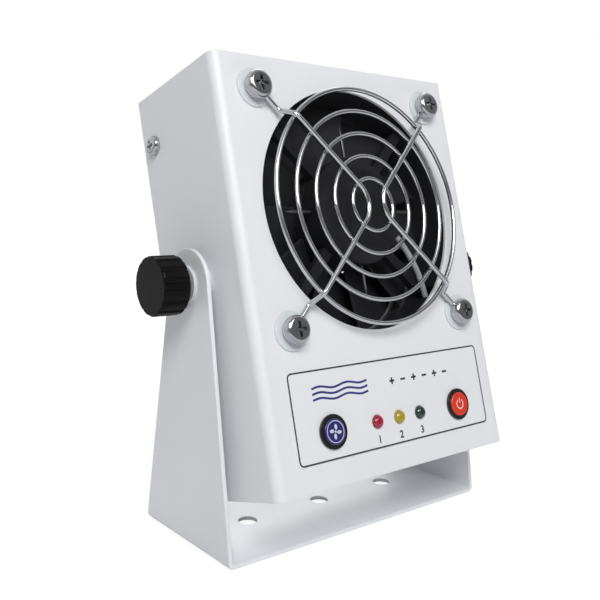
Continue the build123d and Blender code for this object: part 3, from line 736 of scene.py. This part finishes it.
@dataclass
class SubAssembly:
    """Pieces that are finished together, and how their sharp edges are found and rounded."""

    name: str
    weld_mm: float = 0.002
    flat_deg: float = 0.5
    sharp_deg: float = 40.0
    edge_segments: int = 2
    face_weight: int = 100

    def finishes(self) -> dict[str, Finish]:
        """The finish of each CAD node of the sub-assembly."""
        return {}

    def soft_edges(self) -> dict[str, float]:
        """The radius in millimetres that the edges of some nodes are broken by."""
        return {}

    def build(self) -> None:
        """Model the pieces that the frame lacks."""

    def dress(self) -> None:
        """Give each node its finish and its broken edges, and report them."""
        for node, finish in self.finishes().items():
            piece = frame["nodes"][node]
            piece.data.materials.clear()
            piece.data.materials.append(finish.material())
        for node, radius_mm in self.soft_edges().items():
            self.break_edges(node, radius_mm, self.finishes()[node])
        LOG.info("%s: %s", self.name, ", ".join(self.finishes()))

    def break_edges(self, node: str, radius_mm: float, finish: Finish) -> None:
        """Stand a copy of a node in for it, with its sharp edges rounded as paint or a mould leaves them.

        Args:
            node: Name of the CAD node.
            radius_mm: Radius of the rounding.
            finish: The node's finish.
        """
        model = bmesh.new()
        model.from_mesh(frame["nodes"][node].data)
        bmesh.ops.remove_doubles(model, verts=model.verts, dist=self.weld_mm * MM)
        bmesh.ops.dissolve_limit(
            model, angle_limit=radians(self.flat_deg), verts=model.verts, edges=model.edges
        )
        limit = radians(self.sharp_deg)
        sharp = [edge for edge in model.edges if edge.is_manifold and edge.calc_face_angle() > limit]
        bmesh.ops.bevel(
            model,
            geom=sharp,
            offset=radius_mm * MM,
            offset_type="OFFSET",
            segments=self.edge_segments,
            profile=0.5,
            affect="EDGES",
            clamp_overlap=True,
            material=-1,
        )
        bmesh.ops.recalc_face_normals(model, faces=model.faces)
        for face in model.faces:
            face.smooth = True
        mesh = bpy.data.meshes.new(f"{node}_rounded")
        model.to_mesh(mesh)
        model.free()
        rounded = new_piece(f"{node}_rounded", mesh, finish, BODY_OF_NODE[node])
        even = rounded.modifiers.new("even_shading", "WEIGHTED_NORMAL")
        even.weight = self.face_weight
        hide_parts(node)


@dataclass
class Stand(SubAssembly):
    """U bracket and the washers under the knobs."""

    paint_edge_mm: float = 0.3
    washer_edge_mm: float = 0.15

    def finishes(self) -> dict[str, Finish]:
        """Painted bracket, nylon washers."""
        return {"bracket": WHITE_PAINT, "knob_washer_left": NYLON, "knob_washer_right": NYLON}

    def soft_edges(self) -> dict[str, float]:
        """Paint rounds the sheared edges of the sheet, and a mould those of the washers."""
        edges = {"bracket": self.paint_edge_mm}
        for side in Side:
            edges[f"knob_washer_{side.value}"] = self.washer_edge_mm
        return edges


@dataclass
class ClampKnobs(SubAssembly):
    """Knobs that clamp the tilt, with what they clamp."""

    mould_edge_mm: float = 0.2

    def finishes(self) -> dict[str, Finish]:
        """Black grips, plated studs, brass inserts and nylon spacers."""
        by_node: dict[str, Finish] = {}
        for side in Side:
            by_node[f"knob_{side.value}_grip"] = KNOB_PLASTIC
            by_node[f"knob_{side.value}_stud"] = ZINC
            by_node[f"pivot_insert_{side.value}"] = BRASS
            by_node[f"spacer_washer_{side.value}"] = NYLON
        return by_node

    def soft_edges(self) -> dict[str, float]:
        """Moulds leave a small radius on the grips and spacers."""
        grips = [f"knob_{side.value}_grip" for side in Side]
        spacers = [f"spacer_washer_{side.value}" for side in Side]
        return dict.fromkeys(grips + spacers, self.mould_edge_mm)


@dataclass
class HousingShells(SubAssembly):
    """Front and rear shells and the screws that join them."""

    paint_edge_mm: float = 0.3

    def finishes(self) -> dict[str, Finish]:
        """Painted shells and chromed screws."""
        return {
            "front_shell": WHITE_PAINT,
            "rear_shell": WHITE_PAINT,
            "cover_screws": CHROME_SCREW,
            "cover_nuts": ZINC,
        }

    def soft_edges(self) -> dict[str, float]:
        """Paint rounds the sheared edges of the sheets."""
        return dict.fromkeys([f"{end.value}_shell" for end in End], self.paint_edge_mm)


@dataclass
class WireGuards(SubAssembly):
    """Finger guards over the outlet and the intake."""

    washer_edge_mm: float = 0.2

    def finishes(self) -> dict[str, Finish]:
        """Chromed wire and screws, nylon washers."""
        by_node: dict[str, Finish] = {"rear_guard_nuts": ZINC}
        for end in End:
            by_node[f"{end.value}_guard"] = CHROME_WIRE
            by_node[f"{end.value}_guard_screws"] = CHROME_SCREW
            by_node[f"{end.value}_guard_washers"] = NYLON
        return by_node

    def soft_edges(self) -> dict[str, float]:
        """Moulded washers have no sharp rim."""
        return dict.fromkeys([f"{end.value}_guard_washers" for end in End], self.washer_edge_mm)


@dataclass
class Emitter(SubAssembly):
    """Needles and their moulded frame."""

    mould_edge_mm: float = 0.25

    def finishes(self) -> dict[str, Finish]:
        """Black frame, ground needles, grey silicone lead and cast module."""
        return {
            "emitter_frame": EMITTER_PLASTIC,
            "emitter_needles": NEEDLE_STEEL,
            "hv_lead": GREY_SLEEVE,
            "hv_module": POTTING,
            "module_screws": ZINC,
            "module_lead": DARK_SLEEVE,
        }

    def soft_edges(self) -> dict[str, float]:
        """The mould's radius on the frame."""
        return {"emitter_frame": self.mould_edge_mm}


@dataclass
class Fan(SubAssembly):
    """Axial fan with its motor."""

    frame_edge_mm: float = 0.25
    blade_edge_mm: float = 0.2

    def finishes(self) -> dict[str, Finish]:
        """Black mouldings, steel and ferrite inside."""
        return {
            "fan_frame": FAN_PLASTIC,
            "fan_impeller": FAN_PLASTIC,
            "fan_magnet": FERRITE,
            "fan_shaft": NEEDLE_STEEL,
            "fan_bearings": ZINC,
            "fan_stator": LAMINATIONS,
            "fan_circuit_board": BOARD,
            "fan_lead": DARK_SLEEVE,
        }

    def soft_edges(self) -> dict[str, float]:
        """The mould's radius on frame and blades."""
        return {"fan_frame": self.frame_edge_mm, "fan_impeller": self.blade_edge_mm}


@dataclass
class PowerInlet(SubAssembly):
    """Low-voltage socket on the rear and its lead."""

    flange_edge_mm: float = 0.15

    def finishes(self) -> dict[str, Finish]:
        """Black socket, plated nut, dark lead."""
        return {"power_jack": SWITCH_PLASTIC, "power_jack_nut": ZINC, "power_lead": DARK_SLEEVE}

    def soft_edges(self) -> dict[str, float]:
        """A small radius on the socket's flange."""
        return {"power_jack": self.flange_edge_mm}


@dataclass
class ControlBoard(SubAssembly):
    """Circuit board behind the panel."""

    def finishes(self) -> dict[str, Finish]:
        """Green board with its pieces."""
        return {
            "control_board": BOARD,
            "board_standoffs": BRASS,
            "board_screws": ZINC,
            "board_capacitors": SWITCH_PLASTIC,
            "board_headers": NYLON,
        }


@dataclass
class ControlPanel(SubAssembly):
    """Printed film with its three lamps."""

    border_inset_mm: float = 0.10
    border_line_mm: float = 0.55
    border_corner_mm: float = 1.8
    corner_segments: int = 6
    digit_height_mm: float = 2.6
    digit_weight_mm: float = 0.09
    digit_drop_mm: float = 6.2
    mark_line_mm: float = 0.75
    mark_drop_mm: float = 8.2
    air_mark_from_left_mm: float = 22.0
    air_mark_width_mm: float = 25.0
    wave_rows: int = 3
    wave_row_gap_mm: float = 1.9
    wave_height_mm: float = 0.55
    waves_in_row: int = 2
    wave_steps: int = 12
    signs_from_left_mm: float = 60.5
    sign_count: int = 6
    sign_gap_mm: float = 5.6
    sign_arm_mm: float = 1.2

    def finishes(self) -> dict[str, Finish]:
        """Pale film and tinted lamps."""
        return {
            "control_overlay": FILM,
            "led_1_red": RED_LENS,
            "led_2_yellow": YELLOW_LENS,
            "led_3_green": GREEN_LENS,
        }

    def build(self) -> None:
        """Print the border, the lamps' numbers and the marks."""
        self.print_border()
        self.print_numbers()
        self.print_air_mark()
        self.print_sign_row()

    @staticmethod
    def on_film(from_left_mm: float, drop_mm: float) -> Matrix:
        """Find a point of the film's face.

        Args:
            from_left_mm: Its distance from the film's left edge.
            drop_mm: Its distance down from the upper edge.

        Returns:
            The matrix to it.
        """
        low, high = HOUSING.span("control_overlay")
        return HOUSING.matrix(low.x + from_left_mm, high.y - drop_mm, high.z)

    @staticmethod
    def print_piece(name: str, mesh: bpy.types.Mesh, ink: ScreenInk) -> None:
        """Make a mesh a print on the film."""
        new_piece(name, mesh, ink, "housing")

    def print_border(self) -> None:
        """Print the thin line round the film."""
        low, high = HOUSING.span("control_overlay")
        width = (high.x - low.x - 2 * self.border_inset_mm) * MM
        height = (high.y - low.y - 2 * self.border_inset_mm) * MM

        def frame_line(model: Model) -> None:
            """Make a flat rectangle with round corners, of which only the line is left.

            Args:
                model: The empty model.
            """
            bmesh.ops.create_grid(model, x_segments=1, y_segments=1, size=0.5)
            bmesh.ops.scale(model, vec=(width, height, 1), verts=model.verts)
            bmesh.ops.bevel(
                model,
                geom=model.verts[:],
                offset=self.border_corner_mm * MM,
                offset_type="OFFSET",
                segments=self.corner_segments,
                profile=0.5,
                affect="VERTICES",
                material=-1,
            )
            opened(model, self.border_line_mm * MM)
            thicken(model, PRINT.ink_mm * MM)

        middle = (low + high) / 2
        place = HOUSING.matrix(middle.x, middle.y, high.z)
        self.print_piece("panel_border", shape("panel_border", frame_line, place), BORDER_INK)

    def print_numbers(self) -> None:
        """Print the number under each lamp."""
        face = HOUSING.span("control_overlay")[1].z
        for number, lamp in enumerate(("led_1_red", "led_2_yellow", "led_3_green"), start=1):
            low, high = HOUSING.span(lamp)
            middle = (low + high) / 2
            name = f"panel_number_{number}"
            mesh = PRINT.digit(name, str(number), self.digit_height_mm, self.digit_weight_mm)
            mesh.transform(HOUSING.matrix(middle.x, middle.y - self.digit_drop_mm, face))
            self.print_piece(name, mesh, BLACK_INK)

    def print_air_mark(self) -> None:
        """Print rows of waves, for moving air, at the film's upper left."""
        lines = []
        for row in range(self.wave_rows):
            base = (row - (self.wave_rows - 1) / 2) * self.wave_row_gap_mm
            route = []
            for step in range(self.wave_steps + 1):
                share = step / self.wave_steps
                rise = self.wave_height_mm * sin(share * self.waves_in_row * 2 * pi)
                route.append(((share - 0.5) * self.air_mark_width_mm, base + rise))
            lines.append(PRINT.line("air_wave", route, self.mark_line_mm))
        place = self.on_film(self.air_mark_from_left_mm, self.mark_drop_mm)
        self.print_piece("panel_air_mark", joined("panel_air_mark", lines, place), BLUE_INK)

    def print_sign_row(self) -> None:
        """Print plus and minus signs in turn, for the two kinds of ion."""
        arm = self.sign_arm_mm
        lines = []
        for index in range(self.sign_count):
            x = (index - (self.sign_count - 1) / 2) * self.sign_gap_mm
            routes = [[(x - arm, 0.0), (x, 0.0), (x + arm, 0.0)]]
            if index % 2 == 0:
                routes.append([(x, -arm), (x, 0.0), (x, arm)])
            lines += [PRINT.line("ion_sign", route, self.mark_line_mm) for route in routes]
        place = self.on_film(self.signs_from_left_mm, self.mark_drop_mm)
        self.print_piece("panel_ion_signs", joined("panel_ion_signs", lines, place), BLACK_INK)


@dataclass
class PushButtons(SubAssembly):
    """Two push switches with a printed cap each."""

    bezel_edge_mm: float = 0.2
    cap_ring_radius_mm: float = 3.75
    cap_ring_line_mm: float = 0.28
    cap_ring_segments: int = 48
    blade_count: int = 4
    blade_length_mm: float = 1.9
    blade_slimness: float = 0.62
    blade_offset_mm: float = 0.35
    blade_reach_mm: float = 1.55
    blade_segments: int = 20
    hub_radius_mm: float = 0.42
    hub_segments: int = 16
    power_line_mm: float = 0.42
    power_radius_mm: float = 1.75
    power_opening_deg: int = 70
    power_step_deg: int = 10
    power_bar_mm: Triple = (2.2, 1.2, 0.3)

    def finishes(self) -> dict[str, Finish]:
        """Coloured caps in black bodies."""
        return {
            "fan_switch_body": SWITCH_PLASTIC,
            "power_switch_body": SWITCH_PLASTIC,
            "fan_button": BLUE_PLASTIC,
            "power_button": RED_PLASTIC,
            "switch_nuts": ZINC,
        }

    def soft_edges(self) -> dict[str, float]:
        """A small radius on the bezels."""
        return {"fan_switch_body": self.bezel_edge_mm, "power_switch_body": self.bezel_edge_mm}

    def build(self) -> None:
        """Print a symbol on each cap."""
        self.print_fan_symbol(self.face_of("fan_button"))
        self.print_power_symbol(self.face_of("power_button"))

    @staticmethod
    def face_of(cap: str) -> Matrix:
        """Find the middle of a cap's face.

        Args:
            cap: Name of the cap's CAD node.

        Returns:
            The matrix to it.
        """
        low, high = HOUSING.span(cap)
        middle = (low + high) / 2
        return HOUSING.matrix(middle.x, middle.y, high.z)

    def print_fan_symbol(self, place: Matrix) -> None:
        """Print blades in a thin ring.

        Args:
            place: Matrix to the cap's face.
        """

        def blades(model: Model) -> None:
            """Make rounded blades round a hub.

            Args:
                model: The empty model.
            """
            for index in range(self.blade_count):
                made = bmesh.ops.create_circle(
                    model, cap_ends=True, segments=self.blade_segments, radius=self.blade_length_mm * MM / 2
                )
                verts = made["verts"]
                bmesh.ops.scale(model, vec=(self.blade_slimness, 1.0, 1), verts=verts)
                away = (self.blade_offset_mm * MM, self.blade_reach_mm * MM, 0)
                bmesh.ops.translate(model, verts=verts, vec=away)
                turn = Matrix.Rotation(index * 2 * pi / self.blade_count, 3, "Z")
                bmesh.ops.rotate(model, verts=verts, matrix=turn)
            bmesh.ops.create_circle(
                model, cap_ends=True, segments=self.hub_segments, radius=self.hub_radius_mm * MM
            )
            thicken(model, PRINT.ink_mm * MM)

        def ring(model: Model) -> None:
            """Make a disc, of which only the line is left.

            Args:
                model: The empty model.
            """
            bmesh.ops.create_circle(
                model, cap_ends=True, segments=self.cap_ring_segments, radius=self.cap_ring_radius_mm * MM
            )
            opened(model, self.cap_ring_line_mm * MM)
            thicken(model, PRINT.ink_mm * MM)

        for name, build in (("fan_symbol", blades), ("fan_cap_ring", ring)):
            new_piece(name, shape(name, build, place), CAP_INK, "fan_button_cap")

    def print_power_symbol(self, place: Matrix) -> None:
        """Print a ring that is open at the top, with a bar in its opening.

        Args:
            place: Matrix to the cap's face.
        """
        start = self.power_opening_deg // 2
        turns = [radians(turn) for turn in range(start, 361 - start, self.power_step_deg)]
        ring = [(self.power_radius_mm * sin(turn), self.power_radius_mm * cos(turn)) for turn in turns]
        bar = [(0.0, height) for height in self.power_bar_mm]
        lines = [
            PRINT.line("power_ring", ring, self.power_line_mm),
            PRINT.line("power_bar", bar, self.power_line_mm),
        ]
        mesh = joined("power_symbol", lines, place)
        new_piece("power_symbol", mesh, RED_CAP_INK, "power_button_cap")


# Studio


@dataclass(frozen=True)
class Softbox:
    """A square lamp: where it stands and its side in metres, and its power in watts."""

    name: str
    place: Triple
    side: float
    power: float


@dataclass
class Studio:
    """Camera, lamps, floor and white surroundings, in metres where no unit is named."""

    focal_px: float = 806.817
    frame_px: float = 600.0
    sensor_mm: float = 36.0
    near_limit: float = 0.01
    azimuth_deg: float = -39.413
    elevation_deg: float = 7.869
    roll_deg: float = 1.584
    distance_mm: float = 303.758
    target_mm: Triple = (-12.674, 0.0, 82.908)
    lamps: tuple[Softbox, ...] = (
        Softbox("key_softbox", (-0.64, -0.90, 1.00), 0.6, 12.5),
        Softbox("fill_softbox", (0.15, -1.10, 1.00), 0.6, 4.0),
        Softbox("rear_softbox", (0.5, 1.0, 0.8), 0.9, 9.0),
    )
    lamps_aim: Triple = (0.0, 0.0, 0.08)
    floor_size: float = 6.0
    floor_colour: str = "#F4F4F5"
    floor_glow: float = 1.1
    shadow_reach: tuple[float, float] = (0.10, 0.32)
    shadow_glow: tuple[float, float] = (0.78, 1.0)
    surround_light: float = 0.14
    mirrored_reach: tuple[float, float] = (-0.55, 0.25)
    mirrored_glow: tuple[float, float] = (0.20, 0.85)

    def build(self) -> None:
        """Place everything round the object."""
        self.place_camera()
        for softbox in self.lamps:
            self.place_lamp(softbox)
        self.lay_floor()
        self.light_world()
        bpy.context.scene.view_settings.view_transform = "Standard"
        LOG.info("studio: camera, lamps, floor, world")

    def place_camera(self) -> None:
        """Stand the camera where the photograph was taken from."""
        azimuth, elevation = radians(self.azimuth_deg), radians(self.elevation_deg)
        away = Vector((sin(azimuth) * cos(elevation), -cos(azimuth) * cos(elevation), sin(elevation)))
        right = Vector((cos(azimuth), sin(azimuth), 0))
        up = away.cross(right)
        roll = radians(self.roll_deg)
        turned_right = cos(roll) * right + sin(roll) * up
        turned_up = -sin(roll) * right + cos(roll) * up
        data = bpy.data.cameras.new("photograph_view")
        data.sensor_width = self.sensor_mm
        data.lens = data.sensor_width * self.focal_px / self.frame_px
        data.clip_start = self.near_limit
        camera = bpy.data.objects.new("photograph_view", data)
        turn = Matrix((turned_right, turned_up, away)).transposed().to_4x4()
        place = (Vector(self.target_mm) + away * self.distance_mm) * MM
        camera.matrix_world = Matrix.Translation(place) @ turn
        bpy.context.scene.collection.objects.link(camera)
        bpy.context.scene.camera = camera

    def place_lamp(self, softbox: Softbox) -> None:
        """Stand a lamp in its place, facing the object.

        Args:
            softbox: The lamp.
        """
        data = bpy.data.lights.new(softbox.name, "AREA")
        data.shape = "SQUARE"
        data.size = softbox.side
        data.energy = softbox.power
        lamp = bpy.data.objects.new(softbox.name, data)
        lamp.location = softbox.place
        lamp.visible_camera = False
        facing = Vector(self.lamps_aim) - Vector(softbox.place)
        lamp.rotation_euler = facing.to_track_quat("-Z", "Y").to_euler()
        bpy.context.scene.collection.objects.link(lamp)

    def lay_floor(self) -> None:
        """Lay a white floor that keeps a faint shadow of the object."""

        def sheet(model: Model) -> None:
            """One large square."""
            bmesh.ops.create_grid(model, x_segments=1, y_segments=1, size=self.floor_size / 2)

        mesh = shape("studio_floor", sheet, Matrix.Identity(4))
        mesh.materials.append(self.floor_white())
        floor = bpy.data.objects.new("studio_floor", mesh)
        bpy.context.scene.collection.objects.link(floor)

    def floor_white(self) -> bpy.types.Material:
        """Make the floor's white, which the camera sees glow except near the object.

        Returns:
            The material.
        """
        material = bpy.data.materials.new("studio_floor_white")
        material.use_nodes = True
        tree = material.node_tree
        tree.nodes.clear()
        matt = add_node(tree, "ShaderNodeBsdfDiffuse", {"Color": srgb(self.floor_colour)})
        glow = add_node(tree, "ShaderNodeEmission", {"Color": WHITE, "Strength": self.floor_glow})
        rays = add_node(tree, "ShaderNodeLightPath")
        place = add_node(tree, "ShaderNodeTexCoord").outputs["Object"]
        away = add_node(tree, "ShaderNodeVectorMath", {"operation": "LENGTH"}, {0: place})
        settings = {
            "From Min": self.shadow_reach[0],
            "From Max": self.shadow_reach[1],
            "To Min": self.shadow_glow[0],
            "To Max": self.shadow_glow[1],
        }
        lift = add_node(tree, "ShaderNodeMapRange", settings, {"Value": away.outputs["Value"]})
        links = {0: rays.outputs["Is Camera Ray"], 1: lift.outputs["Result"]}
        seen = add_node(tree, "ShaderNodeMath", {"operation": "MULTIPLY"}, links)
        links = {0: seen.outputs[0], 1: matt.outputs[0], 2: glow.outputs[0]}
        mixed = add_node(tree, "ShaderNodeMixShader", links=links)
        add_node(tree, "ShaderNodeOutputMaterial", links={"Surface": mixed.outputs[0]})
        return material

    def light_world(self) -> None:
        """Make the world white to the eye, soft as a light, and dark where metal mirrors its front."""
        world = bpy.data.worlds.new("studio_surround")
        bpy.context.scene.world = world
        world.use_nodes = True
        tree = world.node_tree
        tree.nodes.clear()
        rays = add_node(tree, "ShaderNodeLightPath")
        way = add_node(tree, "ShaderNodeTexCoord")
        parts = add_node(tree, "ShaderNodeSeparateXYZ", links={0: way.outputs["Generated"]})
        settings = {
            "From Min": self.mirrored_reach[0],
            "From Max": self.mirrored_reach[1],
            "To Min": self.mirrored_glow[0],
            "To Max": self.mirrored_glow[1],
        }
        room = add_node(tree, "ShaderNodeMapRange", settings, {"Value": parts.outputs["Y"]})
        soft = add_node(tree, "ShaderNodeBackground", {"Color": WHITE, "Strength": self.surround_light})
        mirrored = add_node(
            tree, "ShaderNodeBackground", {"Color": WHITE}, {"Strength": room.outputs["Result"]}
        )
        seen = add_node(tree, "ShaderNodeBackground", {"Color": WHITE, "Strength": 1.0})
        links = {0: rays.outputs["Is Glossy Ray"], 1: soft.outputs[0], 2: mirrored.outputs[0]}
        indirect = add_node(tree, "ShaderNodeMixShader", links=links)
        links = {0: rays.outputs["Is Camera Ray"], 1: indirect.outputs[0], 2: seen.outputs[0]}
        mixed = add_node(tree, "ShaderNodeMixShader", links=links)
        add_node(tree, "ShaderNodeOutputWorld", links={"Surface": mixed.outputs[0]})


def main() -> None:
    """Build and dress every sub-assembly, then the studio."""
    logging.basicConfig(level=logging.INFO, format="%(message)s")
    parts: list[SubAssembly] = [
        Stand("stand"),
        ClampKnobs("clamp knobs"),
        HousingShells("housing shells"),
        WireGuards("wire guards"),
        Emitter("emitter"),
        Fan("fan"),
        PowerInlet("power inlet"),
        ControlBoard("control board"),
        ControlPanel("control panel"),
        PushButtons("push buttons"),
    ]
    for part in parts:
        part.build()
        part.dress()
    Studio().build()


if __name__ == "__main__":
    main()
